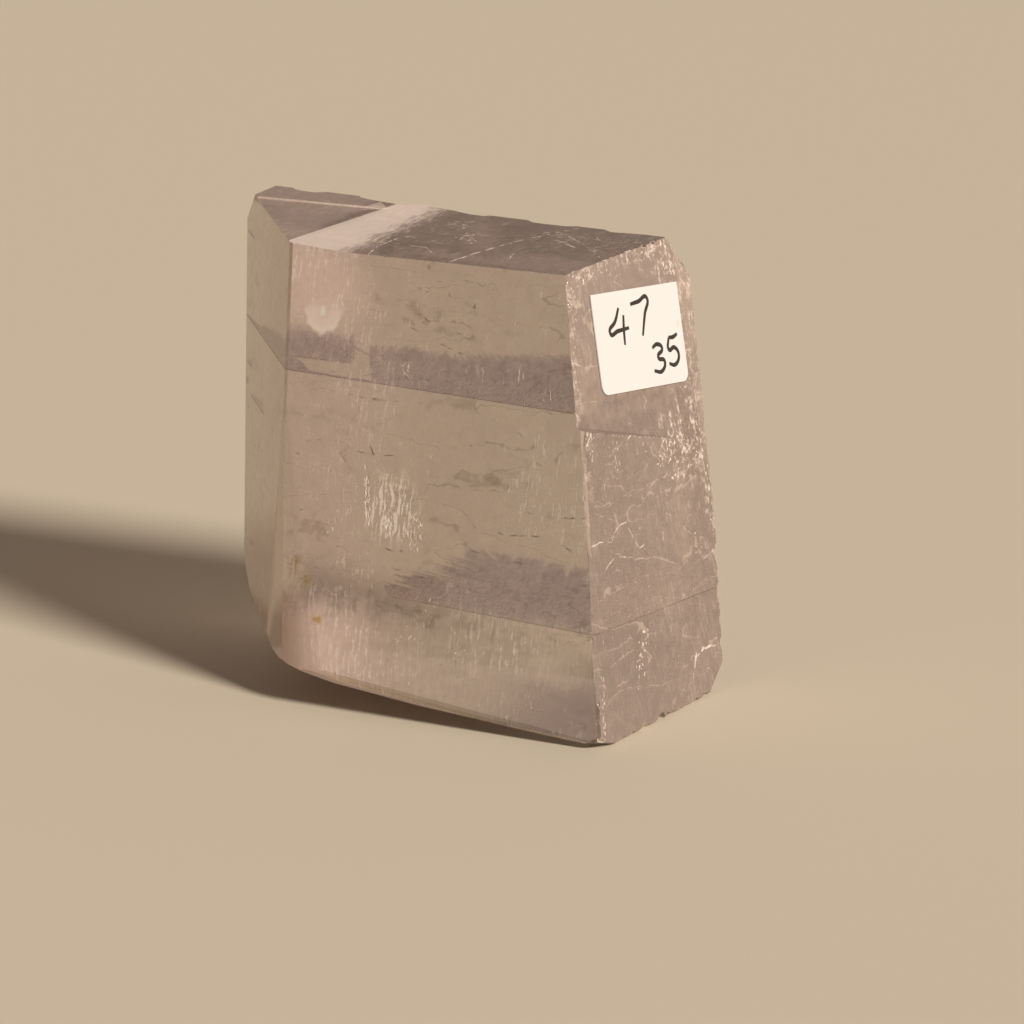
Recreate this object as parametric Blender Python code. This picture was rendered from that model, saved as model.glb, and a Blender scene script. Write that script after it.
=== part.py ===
"""A pale lilac calcite cleavage block standing on one of its cleavage faces, with a paper label.

The block is one solid: a leaning rhomb bounded by three pairs of cleavage faces, with one upright
corner truncated by a natural facet, a worn top back edge, and a rounded lower left end. The small
paper label is stuck near the top of the right face.

Metres, +Z up. The front face runs along X. While the block is cut, the origin is the top corner
where the front, right and top faces meet. At the end everything moves together, so that the
origin is the middle of the base.
"""
import math
import random

import bmesh
import bpy
from mathutils import Matrix, Vector

MM = 0.001

# Driving dimensions of the block
HEIGHT = 58.2 * MM
LENGTH = 61.4 * MM
THICKNESS = 33.0 * MM
FRONT_WIDTH = 39.3 * MM
START_SIZE = 0.4

# Each face as its compass heading and how far it turns up from upright, in degrees
FRONT_LEAN = (-90.0, 14.1)
RIGHT_LEAN = (-5.7, 11.4)
UPPER_RIGHT_LEAN = (-7.0, 13.0)
BACK_LEAN = (90.0, -14.1)
LEFT_LEAN = (174.0, -12.5)
FACET_LEAN = (-144.0, 5.2)

# Levels of the top face above the front right corner
PLATEAU = 0.5 * MM
BACK_STRIP = 0.72 * MM

# How far the lower part of the right face stands out past the upper part
RIGHT_LEDGE = 1.3 * MM

# Worn edges: how deep they are planed off, and the sharpest fold that stays, in degrees
EDGE_WEAR = 0.16 * MM
EDGE_WEAR_SPREAD = 0.5
EDGE_FOLD = 24.0
END_WEAR = 0.7 * MM
END_SECOND_WEAR = 0.18 * MM
END_FOLD = 12.0
WELD = 0.02 * MM

# Flakes: how uneven their rims are, how far they swing round, how deep they go for their length
CHIP_SEED = 31
FLAKE_ROUGHNESS = 0.16
FLAKE_SWING = 0.6
FLAKE_WIDTHS = (0.22, 0.5)
FLAKE_BULGES = (1.8, 3.4)
FLAKE_DEPTHS = (0.14, 0.30)
SMALL_FLAKES = 2.2
SCALLOP_DEPTH = 0.3 * MM

# The paper label
LABEL_WIDTH = 21.2 * MM
LABEL_HEIGHT = 13.1 * MM
LABEL_THICKNESS = 0.16 * MM
LABEL_CORNER = 1.3 * MM
LABEL_CORNER_STEPS = 5
LABEL_ALONG_FACE = 14.4 * MM
LABEL_DOWN_FACE = 11.3 * MM
LABEL_TURN = -6.6
LABEL_GAP = 0.30 * MM


def normal_of(lean):
    """The outward normal of a face, from its heading and how far it turns up."""
    heading = math.radians(lean[0])
    rise = math.radians(lean[1])
    return Vector((math.cos(heading) * math.cos(rise), math.sin(heading) * math.cos(rise), math.sin(rise)))


def millimetres(x, y, z):
    return Vector((x, y, z)) * MM


def meeting_point(*faces):
    """The corner where three faces, each a point and a normal, meet."""
    normals = Matrix([normal for point, normal in faces])
    offsets = Vector([point.dot(normal) for point, normal in faces])
    return normals.inverted() @ offsets


def new_object(name, mesh_builder):
    """Turn a bmesh into an object in the scene."""
    mesh = bpy.data.meshes.new(name)
    mesh_builder.to_mesh(mesh)
    mesh_builder.free()
    thing = bpy.data.objects.new(name, mesh)
    bpy.context.scene.collection.objects.link(thing)
    return thing


def give_material(thing, name, colour, roughness, metallic=0.0):
    """A plain Principled material in the piece's own colour."""
    material = bpy.data.materials.new(name)
    material.use_nodes = True
    shader = material.node_tree.nodes["Principled BSDF"]
    shader.inputs["Base Color"].default_value = (*colour, 1.0)
    shader.inputs["Roughness"].default_value = roughness
    shader.inputs["Metallic"].default_value = metallic
    thing.data.materials.append(material)


def cut_flat(shape, point, normal):
    """Cut a closed shape by a plane, drop what is outside it, and close the cut with one face."""
    everything = shape.verts[:] + shape.edges[:] + shape.faces[:]
    result = bmesh.ops.bisect_plane(
        shape, geom=everything, dist=1e-7, plane_co=point, plane_no=normal, clear_outer=True)
    rim = [item for item in result["geom_cut"] if isinstance(item, bmesh.types.BMEdge)]
    if rim:
        bmesh.ops.contextual_create(shape, geom=rim)


def shape_inside(faces):
    """The solid that lies inside every one of the given faces."""
    shape = bmesh.new()
    bmesh.ops.create_cube(shape, size=START_SIZE)
    for point, normal in faces:
        cut_flat(shape, point, normal)
    bmesh.ops.recalc_face_normals(shape, faces=shape.faces[:])
    return shape


def lies_on(edge, face):
    point, normal = face
    return all(abs((vertex.co - point).dot(normal)) < 0.01 * MM for vertex in edge.verts)


def wear_edges(shape, depth, spread, fold, rng, faces=None):
    """Plane off the sharp edges of a convex shape, all of them or only those of the given faces."""
    sharpest = math.radians(fold)
    worn = []
    for edge in shape.edges:
        chosen = faces is None or any(lies_on(edge, face) for face in faces)
        if chosen and edge.calc_face_angle(0.0) > sharpest:
            outward = (edge.link_faces[0].normal + edge.link_faces[1].normal).normalized()
            middle = (edge.verts[0].co + edge.verts[1].co) * 0.5
            worn.append((middle, outward))
    for middle, outward in worn:
        sunk = depth * (1.0 + rng.uniform(-spread, spread))
        cut_flat(shape, middle - outward * sunk, outward)
        shape.normal_update()


def subtract(body, cutter):
    """Cut one solid out of the body for good, and throw the cutter away."""
    cutter.hide_render = True
    cutter.display_type = "WIRE"
    cut = body.modifiers.new("cut", "BOOLEAN")
    cut.operation = "DIFFERENCE"
    cut.object = cutter
    bpy.context.view_layer.update()
    evaluated = body.evaluated_get(bpy.context.evaluated_depsgraph_get())
    finished = bpy.data.meshes.new_from_object(evaluated)
    body.modifiers.clear()
    old = body.data
    body.data = finished
    bpy.data.meshes.remove(old)
    bpy.data.objects.remove(cutter)


def subtract_outside(body, faces):
    """Cut away the part of the body that lies outside every one of the given faces."""
    turned = [(point, -normal) for point, normal in faces]
    subtract(body, new_object("step_cutter", shape_inside(turned)))


def subtract_scoop(body, place, outward, along, length, depth, rng):
    """Flake a shallow shell-like scoop out of an edge."""
    flake = bmesh.new()
    bmesh.ops.create_icosphere(flake, subdivisions=2, radius=1.0)
    for vertex in flake.verts:
        vertex.co *= 1.0 + rng.uniform(-FLAKE_ROUGHNESS, FLAKE_ROUGHNESS)
    out = outward.normalized()
    across = out.cross(along).normalized()
    run = across.cross(out)
    bulge = depth * rng.uniform(*FLAKE_BULGES)
    width = length * rng.uniform(*FLAKE_WIDTHS)
    turn = Matrix((run, across, out)).transposed().to_4x4()
    swing = Matrix.Rotation(rng.uniform(-FLAKE_SWING, FLAKE_SWING), 4, out)
    stretch = Matrix.Diagonal((length * 0.5, width, bulge, 1.0))
    move = Matrix.Translation(place + out * (bulge - depth))
    bmesh.ops.transform(flake, matrix=move @ swing @ turn @ stretch, verts=flake.verts[:])
    subtract(body, new_object("flake_cutter", flake))


def chip_edge(body, start, end, normals, count, sizes, rng):
    """Scatter flakes along one worn edge, many small ones and a few large ones."""
    run = (end - start).normalized()
    outward = (normals[0] + normals[1]).normalized()
    smallest, largest = sizes
    for _ in range(count):
        place = start.lerp(end, rng.uniform(0.03, 0.97))
        length = smallest + (largest - smallest) * rng.random() ** SMALL_FLAKES
        side = outward + normals[rng.randrange(2)] * rng.uniform(0.0, 0.8)
        subtract_scoop(body, place, side, run, length, length * rng.uniform(*FLAKE_DEPTHS), rng)


# Clear the scene
for leftover in list(bpy.data.objects):
    bpy.data.objects.remove(leftover)

random_chips = random.Random(CHIP_SEED)

# The faces of the block, each a point on it and its outward normal
UP = Vector((0.0, 0.0, 1.0))
top = (Vector((0.0, 0.0, BACK_STRIP)), UP)
low_top = (Vector((0.0, 0.0, 0.0)), UP)
base = (Vector((0.0, 0.0, -HEIGHT)), -UP)
front = (Vector((0.0, 0.0, 0.0)), normal_of(FRONT_LEAN))
right = (normal_of(RIGHT_LEAN) * RIGHT_LEDGE, normal_of(RIGHT_LEAN))
upper_right = (Vector((0.0, 0.0, 0.0)), normal_of(UPPER_RIGHT_LEAN))
back = (Vector((0.0, THICKNESS, 0.0)), normal_of(BACK_LEAN))
left = (Vector((-LENGTH, THICKNESS * 0.5, 0.0)), normal_of(LEFT_LEAN))
facet = (Vector((-FRONT_WIDTH, 0.0, 0.0)), normal_of(FACET_LEAN))

# Slopes that wear and old breaks have left on its edges and corners
worn_top_back = (millimetres(2.6, 25.4, 0.0), normal_of((85.4, 46.0)))
worn_back_right = (millimetres(4.0, 27.0, -3.6), normal_of((6.0, 11.7)))
worn_top_left = (millimetres(-56.3, 24.0, 0.7), normal_of((179.0, 36.0)))
front_undercut = (millimetres(8.0, -14.7, -58.2), normal_of((-110.2, -70.1)))
front_right_foot = (millimetres(11.2, -14.3, -56.9), normal_of((-48.0, -55.0)))
front_left_foot = (millimetres(-36.3, -13.1, -51.3), normal_of((-122.0, -40.0)))
left_end_slope = (millimetres(-40.4, -7.9, -51.7), normal_of((-153.0, -57.0)))
left_end_heel = (millimetres(-51.2, 4.4, -46.0), normal_of((-160.0, -28.0)))
back_right_foot = (millimetres(14.4, 16.8, -56.8), normal_of((38.0, -42.0)))

block_faces = [top, base, front, right, back, left, facet, worn_top_back, worn_back_right, worn_top_left]
end_faces = [front_undercut, front_left_foot, left_end_slope, left_end_heel]
foot_faces = [front_right_foot, back_right_foot]
shape = shape_inside(block_faces + end_faces + foot_faces)

# The lower left end is rounded over in two passes, then every edge is slightly worn
wear_edges(shape, END_WEAR, 0.0, END_FOLD, random_chips, end_faces)
wear_edges(shape, END_SECOND_WEAR, 0.0, END_FOLD, random_chips, end_faces)
wear_edges(shape, EDGE_WEAR, EDGE_WEAR_SPREAD, EDGE_FOLD, random_chips)
bmesh.ops.remove_doubles(shape, verts=shape.verts[:], dist=WELD)
bmesh.ops.recalc_face_normals(shape, faces=shape.faces[:])
crystal = new_object("crystal", shape)

# The top steps down from its left part to its right part over a gentle ramp
ramp_line = (millimetres(-39.0, 0.0, 0.5), millimetres(-35.2, 28.0, 0.5))
ramp_foot = millimetres(-31.4, 0.0, 0.0)
ramp_normal = (ramp_line[1] - ramp_line[0]).cross(ramp_foot - ramp_line[0]).normalized()
if ramp_normal.z < 0.0:
    ramp_normal.negate()
subtract_outside(crystal, [low_top, (ramp_foot, ramp_normal)])

# A thin cleavage ledge runs along the back of the left part
ledge_foot = millimetres(-39.0, 22.6, 0.5)
plateau = (Vector((0.0, 0.0, PLATEAU)), UP)
subtract_outside(crystal, [plateau, (ledge_foot, normal_of((-88.0, 35.0)))])

# The upper part of the right face lies behind the lower part, above a ragged ledge
ledge_height = millimetres(3.3, -4.8, -18.4)
subtract_outside(crystal, [upper_right, (ledge_height, normal_of((20.0, 62.0)))])

# Corners between which the edges run
corner_front_right = meeting_point(low_top, front, upper_right)
corner_front_left = meeting_point(top, front, facet)
corner_back_right = meeting_point(low_top, upper_right, worn_top_back)
shoulder = meeting_point(worn_back_right, worn_top_back, back)
foot_front_right = meeting_point(base, front, right)
foot_front_left = meeting_point(left_end_slope, front, facet)
foot_back_right = meeting_point(base, right, back)
ledge_corner = meeting_point((ledge_height, UP), front, right)

# Flakes along the worn edges: the two ends, the faces beside it, how many, and their lengths in mm
for start, end, sides, count, sizes in (
        (corner_front_right, corner_back_right, (UP, upper_right[1]), 14, (0.7, 2.6)),
        (corner_back_right, shoulder, (worn_top_back[1], upper_right[1]), 6, (0.9, 2.8)),
        (corner_front_right, ledge_corner, (front[1], upper_right[1]), 10, (0.6, 2.2)),
        (ledge_corner, foot_front_right, (front[1], right[1]), 13, (0.6, 2.4)),
        (corner_front_left, corner_front_right, (UP, front[1]), 9, (0.6, 1.8)),
        (corner_front_left, foot_front_left, (front[1], facet[1]), 10, (0.6, 1.9)),
        (foot_front_right, foot_back_right, (-UP, right[1]), 13, (0.9, 3.2)),
        (shoulder, foot_back_right, (right[1], back[1]), 22, (0.9, 4.4))):
    chip_edge(crystal, start, end, sides, count, (sizes[0] * MM, sizes[1] * MM), random_chips)

# Broad shell-like scallops along the worn top back edge
top_back_run = meeting_point(low_top, worn_top_back, left) - corner_back_right
for place, length in ((0.10, 9.0), (0.27, 12.0), (0.46, 8.0), (0.66, 10.0), (0.85, 7.0)):
    scallop = corner_back_right + top_back_run * place
    outward = UP + worn_top_back[1] * 0.6
    subtract_scoop(crystal, scallop, outward, top_back_run, length * MM, SCALLOP_DEPTH, random_chips)

give_material(crystal, "calcite", (0.47, 0.36, 0.33), 0.32)

# The paper label: square above, rounded below
half_width = LABEL_WIDTH * 0.5
half_height = LABEL_HEIGHT * 0.5
outline = [(half_width, half_height), (-half_width, half_height)]
for side in (-1.0, 1.0):
    for step in range(LABEL_CORNER_STEPS + 1):
        turn = math.radians(90.0) * step / LABEL_CORNER_STEPS
        if side > 0.0:
            turn = math.radians(90.0) - turn
        x = side * (half_width - LABEL_CORNER + LABEL_CORNER * math.cos(turn))
        y = -half_height + LABEL_CORNER - LABEL_CORNER * math.sin(turn)
        outline.append((x, y))
paper = bmesh.new()
sheet = paper.faces.new([paper.verts.new((x, y, 0.0)) for x, y in outline])
lifted = bmesh.ops.extrude_face_region(paper, geom=[sheet])
lifted_points = [item for item in lifted["geom"] if isinstance(item, bmesh.types.BMVert)]
bmesh.ops.translate(paper, verts=lifted_points, vec=(0.0, 0.0, LABEL_THICKNESS))
bmesh.ops.recalc_face_normals(paper, faces=paper.faces[:])

# It lies on the upper right face, turned a little clockwise
face_across = UP.cross(upper_right[1]).normalized()
face_up = upper_right[1].cross(face_across).normalized()
spin = Matrix.Rotation(math.radians(LABEL_TURN), 4, upper_right[1])
label_axes = Matrix((face_across, face_up, upper_right[1])).transposed().to_4x4()
label_centre = face_across * LABEL_ALONG_FACE - face_up * LABEL_DOWN_FACE + upper_right[1] * LABEL_GAP
placing = Matrix.Translation(label_centre) @ spin @ label_axes
bmesh.ops.transform(paper, matrix=placing, verts=paper.verts[:])
label = new_object("label", paper)
give_material(label, "label_paper", (0.88, 0.83, 0.76), 0.75)

# Stand the block so that the middle of its base is the origin
low = Vector([min(vertex.co[axis] for vertex in crystal.data.vertices) for axis in range(3)])
high = Vector([max(vertex.co[axis] for vertex in crystal.data.vertices) for axis in range(3)])
shift = Matrix.Translation(-Vector(((low.x + high.x) * 0.5, (low.y + high.y) * 0.5, low.z)))
for thing in (crystal, label):
    thing.data.transform(shift)
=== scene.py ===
import math
import random

import bmesh
import bpy
from mathutils import Matrix, Vector


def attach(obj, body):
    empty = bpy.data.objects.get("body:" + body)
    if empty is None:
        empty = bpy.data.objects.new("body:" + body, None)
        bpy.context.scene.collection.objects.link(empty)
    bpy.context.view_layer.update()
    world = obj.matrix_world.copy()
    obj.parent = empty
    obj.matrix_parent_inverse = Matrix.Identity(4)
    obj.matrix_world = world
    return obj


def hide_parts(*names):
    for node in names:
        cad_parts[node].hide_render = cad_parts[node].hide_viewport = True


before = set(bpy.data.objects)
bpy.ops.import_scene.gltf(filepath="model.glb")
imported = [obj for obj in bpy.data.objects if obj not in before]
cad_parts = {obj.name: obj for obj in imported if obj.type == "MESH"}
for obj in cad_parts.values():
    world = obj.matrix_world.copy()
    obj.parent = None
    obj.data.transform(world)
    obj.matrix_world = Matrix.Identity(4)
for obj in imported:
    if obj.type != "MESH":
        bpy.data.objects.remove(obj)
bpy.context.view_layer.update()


# The calcite block: one crystal, split along its natural cleavage planes into a leaning block.
# Its faces are flat and glassy with fine scratches, its edges are flaked by handling, and two
# level cleavage cracks run nearly through it, open to the air as thin slots.
MM = 0.001
UP = Vector((0.0, 0.0, 1.0))
WELD = 0.001 * MM
FLAT_ANGLE = math.radians(0.05)
FACING = 0.85
UPPER_RIGHT_FOOT = 45.0 * MM

cad_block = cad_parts["crystal"]
block = bpy.data.objects.new("calcite_block", cad_block.data.copy())
bpy.context.scene.collection.objects.link(block)


def only(thing):
    """Make one object the only selected one, and the active one."""
    bpy.ops.object.select_all(action="DESELECT")
    thing.select_set(True)
    bpy.context.view_layer.objects.active = thing


def in_edit(thing, *steps):
    """Run edit-mode steps on all of one object's mesh."""
    only(thing)
    bpy.ops.object.mode_set(mode="EDIT")
    bpy.ops.mesh.select_all(action="SELECT")
    for step in steps:
        step()
    bpy.ops.object.mode_set(mode="OBJECT")


in_edit(block,
        lambda: bpy.ops.mesh.remove_doubles(threshold=WELD),
        lambda: bpy.ops.mesh.normals_make_consistent(inside=False),
        lambda: bpy.ops.mesh.dissolve_limited(angle_limit=FLAT_ANGLE))


def widest(direction, mesh):
    """A point on the widest face that looks in a direction, and its normal."""
    facing = [face for face in mesh.polygons if face.normal.dot(direction) > FACING]
    face = max(facing, key=lambda one: one.area)
    return face.center.copy(), face.normal.copy()


heading = {
    "front": Vector((0.0, -1.0, 0.0)),
    "right": Vector((1.0, 0.0, 0.0)),
    "top": UP,
    "facet": Vector((-0.8, -0.6, 0.0)),
    "back": Vector((0.0, 1.0, 0.0)),
    "left": Vector((-1.0, 0.0, 0.0)),
    "base": -UP,
}
faces = {name: widest(direction, block.data) for name, direction in heading.items()}
above_the_ledge = [face for face in block.data.polygons
                   if face.normal.dot(heading["right"]) > FACING and face.center.z > UPPER_RIGHT_FOOT]
upper_right = max(above_the_ledge, key=lambda one: one.area)
faces["upper_right"] = (upper_right.center.copy(), upper_right.normal.copy())

# Each cleavage crack is a thin slab cut out of the block: where it meets the front face, its slope to
# the right and to the back, and its plan outline, in millimetres. It runs out in feathers: a row of
# points between two marks of the outline is broken up into narrow tongues.
chance = random.Random(11)
SHORT_TONGUE = 0.4


def feathers(points, step, reach):
    """Points along a broken line, each one stepped sideways by a chance amount: narrow tongues."""
    made = []
    for (x0, y0), (x1, y1) in zip(points, points[1:]):
        run = math.hypot(x1 - x0, y1 - y0)
        count = max(2, round(run / step))
        for number in range(count):
            share = (number + chance.uniform(0.1, 0.9)) / count
            long_tongue = number % 2 == 1
            slip = chance.uniform(0.0, reach) if long_tongue else chance.uniform(-reach, 0.0) * SHORT_TONGUE
            made.append((x0 + (x1 - x0) * share + (y1 - y0) / run * slip,
                         y0 + (y1 - y0) * share - (x1 - x0) / run * slip))
    return made


CRACK_GAP = 0.05 * MM
CRACKS = {
    "upper": {
        "level": 42.1, "front": -13.0, "slope": -0.036, "dip": -0.035,
        "outline": [(21.2, -45), (30.6, 26.5), (28, 26)]
        + feathers([(24, 22.5), (15.7, 17.5), (8.6, 13), (1, 9), (-5, 9.5), (-9.4, 9)], 0.45, -5.0)
        + [(-9.6, 8), (-7.4, 0), (-5.2, -7), (-3.7, -11.9), (-9, -12.1), (-12.8, -11.6), (-14.6, -8.2),
           (-16.8, -5.2), (-12, -4.6), (-8.8, -4.2), (-9.4, -1), (-10.4, 3), (-11.6, 7)]
        + feathers([(-13.0, 12.5), (-18.0, 12.0), (-23.0, 12.5)], 0.5, -4.5)
        + [(-25, 9.5), (-28, 10), (-31, 12), (-46, 22), (-46, -45)],
    },
    "lower": {
        "level": 15.9, "front": -19.6, "slope": -0.055, "dip": -0.04,
        "outline": [(60, -50), (60, 45), (33, 45)]
        + feathers([(32, 16.5), (20, 15.0), (10, 13.5), (5, 11.0)], 0.8, -12.0)
        + feathers([(6.0, 8.0), (4.0, 0.0), (2.0, -8.0), (1.0, -15.0)], 0.8, -6.0)
        + [(1.8, -18.5), (3.2, -20.2), (5, -50)],
    },
}


def crack_level(crack, x, y):
    """Height of a crack's floor at a place in plan."""
    return crack["level"] + crack["slope"] * x + crack["dip"] * (y - crack["front"])


def lift(outlines, height):
    """Turn flat outlines into thin closed slabs, by a straight lift of all their faces."""
    lifted = bmesh.ops.extrude_face_region(outlines, geom=outlines.faces[:])["geom"]
    moving = [item for item in lifted if isinstance(item, bmesh.types.BMVert)]
    bmesh.ops.translate(outlines, vec=UP * height, verts=moving)
    bmesh.ops.recalc_face_normals(outlines, faces=outlines.faces[:])


def as_cutter(name, mesh):
    """A new object for a mesh that cuts."""
    cutter = bpy.data.objects.new(name, mesh)
    bpy.context.scene.collection.objects.link(cutter)
    return cutter


def cut(body, cutter):
    """Cut one solid, or several that stand clear of each other, out of a body, and drop the cutter."""
    only(body)
    modifier = body.modifiers.new("cut", "BOOLEAN")
    modifier.operation = "DIFFERENCE"
    modifier.solver = "MANIFOLD"
    modifier.object = cutter
    bpy.ops.object.modifier_apply(modifier=modifier.name)
    bpy.data.objects.remove(cutter)


# The front left edge is sharp at the top and rounds over more and more towards the foot, like a cone:
# flat shavings that all pass through one point high on the edge, in steps from one face to the other
EDGE_TOP = 40.0
ROUNDING = 0.42
HALF_SPACE = 200.0 * MM
SHAVINGS = (-0.8, -0.6, -0.4, -0.2, 0.0, 0.2, 0.4, 0.6, 0.8)
front_point, front_normal = faces["front"]
facet_point, facet_normal = faces["facet"]
edge_way = front_normal.cross(facet_normal).normalized()
edge_way = edge_way if edge_way.z > 0.0 else -edge_way
apex = Matrix((front_normal, facet_normal, UP)).inverted() @ Vector((
    front_point.dot(front_normal), facet_point.dot(facet_normal), EDGE_TOP * MM))
middle = (front_normal + facet_normal).normalized()
half_turn = middle.angle(front_normal)
swing = (front_normal - middle * front_normal.dot(middle)).normalized()
for share in SHAVINGS:
    angle = half_turn * share
    lean = ROUNDING * (math.cos(angle) / math.cos(half_turn) - 1.0)
    outward = (middle * math.cos(angle) + swing * math.sin(angle) - edge_way * lean).normalized()
    bpy.ops.object.select_all(action="DESELECT")
    bpy.ops.mesh.primitive_cube_add(size=1.0, location=(0.0, 0.0, 0.0))
    shaver = bpy.context.active_object
    shaver.data.transform(Matrix.Translation((0.0, 0.0, 0.5)))
    shaver.data.transform(Matrix.Diagonal((HALF_SPACE, HALF_SPACE, HALF_SPACE, 1.0)))
    shaver.data.transform(Matrix.Translation(apex) @ outward.to_track_quat("Z", "Y").to_matrix().to_4x4())
    cut(block, shaver)

for crack in CRACKS.values():
    slab = bmesh.new()
    slab.faces.new([slab.verts.new((x * MM, y * MM, crack_level(crack, x, y) * MM))
                    for x, y in crack["outline"]])
    lift(slab, CRACK_GAP)
    mesh = bpy.data.meshes.new("crack_slab")
    slab.to_mesh(mesh)
    slab.free()
    cut(block, as_cutter("crack_slab", mesh))

# Small flakes along every edge, coarser on the right and coarsest low down and at the back there.
# Each is a rough shell, and shells that stand clear of each other are cut out together, as one batch
FLAKES_PER_MM = 0.55
FLAKE_LENGTHS = (0.35, 1.6)
SHORTEST_EDGE = 1.5 * MM
SHARPEST_SMOOTH = math.radians(25.0)
NEAR_CRACK = 0.2
FINE, MEDIUM, COARSE = 0.6, 1.0, 1.9
RUBBED = {"width": (0.15, 0.4), "depth": (0.05, 0.12), "frost": (0.0, 0.4)}
CHIPPED = {"width": (0.4, 0.9), "depth": (0.10, 0.24), "frost": (0.3, 1.0)}
TILT = 0.5
RIGHTWARD, WELL_RIGHTWARD, BACKWARD, DOWNWARD = 0.3, 0.4, 0.25, -0.3
edges = []
solid = bmesh.new()
solid.from_mesh(block.data)
for edge in solid.edges:
    if len(edge.link_faces) == 2 and edge.calc_length() > SHORTEST_EDGE:
        turn = edge.link_faces[0].normal.angle(edge.link_faces[1].normal)
        centre = (edge.verts[0].co + edge.verts[1].co) * 0.5
        on_crack = any(abs(centre.z / MM - crack_level(crack, centre.x / MM, centre.y / MM)) < NEAR_CRACK
                       for crack in CRACKS.values())
        if turn > SHARPEST_SMOOTH and edge.calc_face_angle_signed() > 0.0 and not on_crack:
            outward = (edge.link_faces[0].normal + edge.link_faces[1].normal).normalized()
            low_or_behind = outward.y > BACKWARD or outward.z < DOWNWARD
            if outward.x > WELL_RIGHTWARD and low_or_behind:
                coarse = COARSE
            else:
                coarse = MEDIUM if outward.x > RIGHTWARD else FINE
            edges.append((edge.verts[0].co.copy(), edge.verts[1].co.copy(), outward, coarse))
solid.free()
bpy.ops.object.select_all(action="DESELECT")
bpy.ops.mesh.primitive_ico_sphere_add(subdivisions=1, radius=1.0, location=(0.0, 0.0, 0.0))
shell = bpy.context.active_object
shell_points = [vertex.co.copy() for vertex in shell.data.vertices]
shell_faces = [tuple(face.vertices) for face in shell.data.polygons]
bpy.data.objects.remove(shell)
batches = []
MOST_BATCHES = 34
BULGES = (1.6, 3.0)
DENTS = (0.8, 1.2)
FRESH_FROST = (0.5, 1.0)


def add_flake(place, along, outward, length, width, depth, frost=None):
    """Add one rough shell that breaks a flake of this size out of the surface, clear of its batch."""
    bulge = depth * chance.uniform(*BULGES)
    across = outward.cross(along).normalized()
    along = across.cross(outward)
    turn = Matrix((along, across, outward)).transposed().to_4x4()
    size = Matrix.Diagonal((length * 0.5, width * 0.5, bulge, 1.0))
    seat = Matrix.Translation(place + outward * (bulge - depth)) @ turn @ size
    points = [seat @ (point * chance.uniform(*DENTS)) for point in shell_points]
    low = Vector([min(point[axis] for point in points) for axis in range(3)])
    high = Vector([max(point[axis] for point in points) for axis in range(3)])
    for batch in batches:
        if all(any(low[axis] > other_high[axis] or high[axis] < other_low[axis] for axis in range(3))
               for other_low, other_high in batch["boxes"]):
            break
    else:
        if len(batches) == MOST_BATCHES:
            return
        batch = {"boxes": [], "points": [], "faces": [], "frost": []}
        batches.append(batch)
    first = len(batch["points"])
    batch["boxes"].append((low, high))
    batch["points"] += points
    batch["faces"] += [tuple(first + corner for corner in face) for face in shell_faces]
    batch["frost"] += [chance.uniform(*FRESH_FROST) if frost is None else frost for _ in shell_faces]


shortest, longest = FLAKE_LENGTHS
for start, end, outward, coarse in edges:
    run = end - start
    for _ in range(int(run.length / MM * FLAKES_PER_MM + chance.random())):
        wear = CHIPPED if coarse == COARSE else RUBBED
        length = (shortest + (longest - shortest) * chance.random() ** 3) * coarse * MM
        tilt = (outward + Vector([chance.uniform(-TILT, TILT) for _ in range(3)])).normalized()
        place = start.lerp(end, chance.random())
        width = length * chance.uniform(*wear["width"])
        depth = length * chance.uniform(*wear["depth"])
        add_flake(place, run, tilt, length, width, depth, chance.uniform(*wear["frost"]))


def on_face(name, u, v):
    """The point of a face at a place in its own flat coordinates, in millimetres."""
    point, normal = faces[name]
    if name in ("top", "base"):
        flat = Vector((u, v, 0.0)) * MM
        return flat + UP * (point - flat).dot(normal) / normal.z
    side = UP.cross(normal).normalized()
    level = Vector((normal.x, normal.y, 0.0)).normalized()
    flat = side * (u * MM) + UP * (v * MM)
    return flat + level * (point - flat).dot(normal) / level.dot(normal)


SCRATCH_STEP = 1.6
SCRATCH_DEPTH = 0.08 * MM
SCRATCH_STRAY = 0.06 * MM
SCRATCH_SWING = 0.12


def scratch(name, points, width, frost=None):
    """A chain of thin cuts that follows a line over a face."""
    normal = faces[name][1]
    places = [on_face(name, u, v) for u, v in points]
    for start, end in zip(places, places[1:]):
        run = end - start
        count = max(1, round(run.length / MM / SCRATCH_STEP))
        for number in range(count):
            share = (number + chance.uniform(0.2, 0.8)) / count
            stray = normal.cross(run).normalized() * chance.uniform(-SCRATCH_STRAY, SCRATCH_STRAY)
            along = run + normal.cross(run) * chance.uniform(-SCRATCH_SWING, SCRATCH_SWING)
            length = run.length / count * chance.uniform(0.9, 1.5)
            breadth = width * MM * chance.uniform(0.6, 1.3)
            add_flake(start + run * share + stray, along, normal, length, breadth, SCRATCH_DEPTH, frost)


# A crumb slimmer than this is a nick, which stands straighter on the face
NICK_SLIMNESS = 0.2
NICK_TILT, CRUMB_TILT = 0.06, 0.25
CRUMB_TURN = 22.0
DEPTH_BY_LENGTH, DEPTH_BY_WIDTH = 0.12, 0.45


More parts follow.
